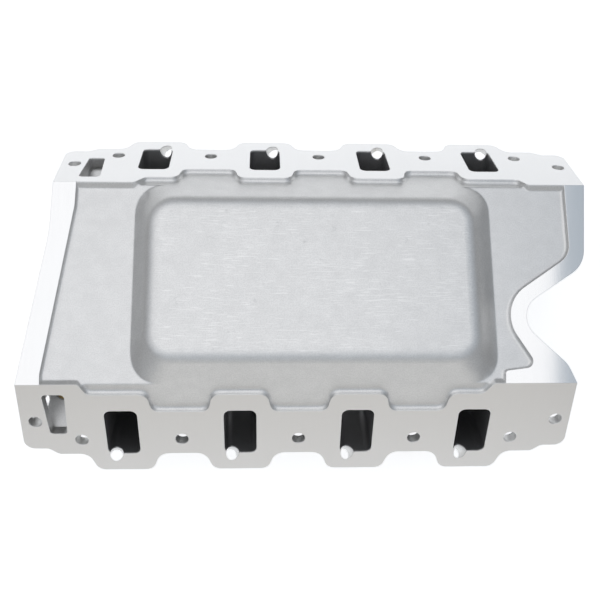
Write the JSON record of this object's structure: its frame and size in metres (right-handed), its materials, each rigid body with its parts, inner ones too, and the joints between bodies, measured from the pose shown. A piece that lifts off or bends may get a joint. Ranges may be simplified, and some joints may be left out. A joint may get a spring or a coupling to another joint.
{
  "type": "intake manifold",
  "caption": "Cast aluminium V8 intake manifold, valley side up, with head flanges, injector bores, distributor notch, raised valley floor, bolted plenum and thermostat.",
  "frame": {"origin": "centre of the bounding box in plan, at the throttle flange's face, on which the part rests", "axes": "+X along the crankshaft towards the distributor notch, +Y towards the far head, +Z towards the engine's valley: fitted to an engine the part is turned half a turn about X"},
  "size_m": [0.546, 0.3444, 0.172],
  "materials": {
    "cast_aluminium": "sand-cast, machined on the joint faces",
    "cast_aluminium_cover": "sand-cast, machined on the joint faces",
    "gasket_paper": "fibre gasket sheet",
    "zinc_steel": "zinc plated",
    "ground_steel": "ground",
    "stainless": "bright stainless",
    "thermostat_brass": "pressed brass",
    "capsule_copper": "drawn copper alloy",
    "spring_steel": "oiled spring wire",
    "brass": "turned brass",
    "black_plastic": "glass-filled nylon"
  },
  "bodies": {
    "manifold": {"lower_casting": "cast_aluminium", "plenum_cover": "cast_aluminium_cover", "plenum_gasket": "gasket_paper", "plenum_screws": "zinc_steel", "plenum_dowels": "ground_steel", "throttle_inserts": "stainless", "fuel_rail_posts": "zinc_steel", "fuel_rail_screws": "zinc_steel", "water_outlet": "cast_aluminium_cover", "outlet_gasket": "gasket_paper", "outlet_bolts": "zinc_steel", "thermostat_seat": "thermostat_brass", "spring_bridge": "thermostat_brass", "thermostat_piston": "stainless", "thermostat_spring": "spring_steel", "coolant_sensor": "brass", "coolant_sensor_connector": "black_plastic", "heater_nipple": "zinc_steel", "crossover_plug": "brass", "air_sensor": "brass", "air_sensor_connector": "black_plastic", "map_sensor": "black_plastic", "map_sensor_screws": "zinc_steel", "brake_fitting": "brass", "vacuum_plugs": "brass"},
    "thermostat_poppet": {"thermostat_valve": "thermostat_brass", "thermostat_capsule": "capsule_copper"},
    "jiggle_pin": {"jiggle_pin": "thermostat_brass"}
  },
  "joints": [
    {"name": "thermostat_opening", "type": "slide", "parent": "manifold", "child": "thermostat_poppet", "axis": [0, 0, 1], "range_m": [0, 0.008], "stiffness_N_per_m": 1500, "springref_m": -0.004, "deforming": ["thermostat_spring"]},
    {"name": "jiggle_pin_lift", "type": "slide", "parent": "manifold", "child": "jiggle_pin", "axis": [0, 0, 1], "range_m": [0, 0.0022]}
  ]
}
